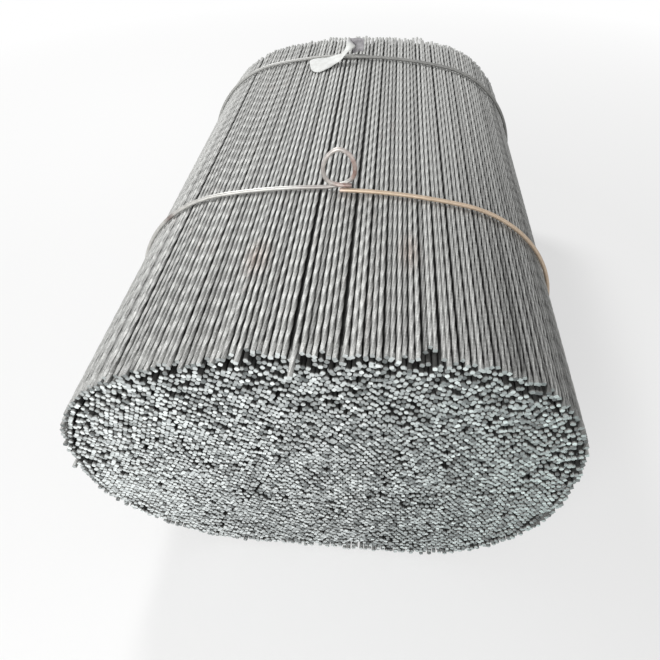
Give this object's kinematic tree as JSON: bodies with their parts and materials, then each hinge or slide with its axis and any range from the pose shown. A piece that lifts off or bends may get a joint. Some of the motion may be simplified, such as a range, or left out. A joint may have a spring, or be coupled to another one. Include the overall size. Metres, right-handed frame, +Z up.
{
  "type": "rebar bundle",
  "caption": "Tied bundle of short twisted square steel reinforcing bars, domed on top and flat underneath, held by wire ties, one curled into a loop and one with a blank tag.",
  "frame": {"origin": "on the floor, under the middle of the bundle", "axes": "+Y along the bars, away from the end that shows; +Z up; +X to the right seen from the end that shows"},
  "size_m": [0.6976, 1.0591, 0.5436],
  "materials": {
    "bar_steel": "grey mill scale, dull, with a few rusty spots",
    "inner_steel": "dull sheared bar ends in shadow",
    "front_tie_wire": "grey wire, tan with rust on one half",
    "rear_tie_wire": "dull grey wire",
    "tag_white": "blank, matt"
  },
  "bodies": {
    "root": {"top_bars": "bar_steel", "right_side_bars": "bar_steel", "left_side_bars": "bar_steel", "bottom_bars": "bar_steel", "inner_bars": "inner_steel", "front_tie": "front_tie_wire", "front_tie_loop": "front_tie_wire", "rear_tie": "rear_tie_wire", "tag": "tag_white"}
  },
  "joints": []
}
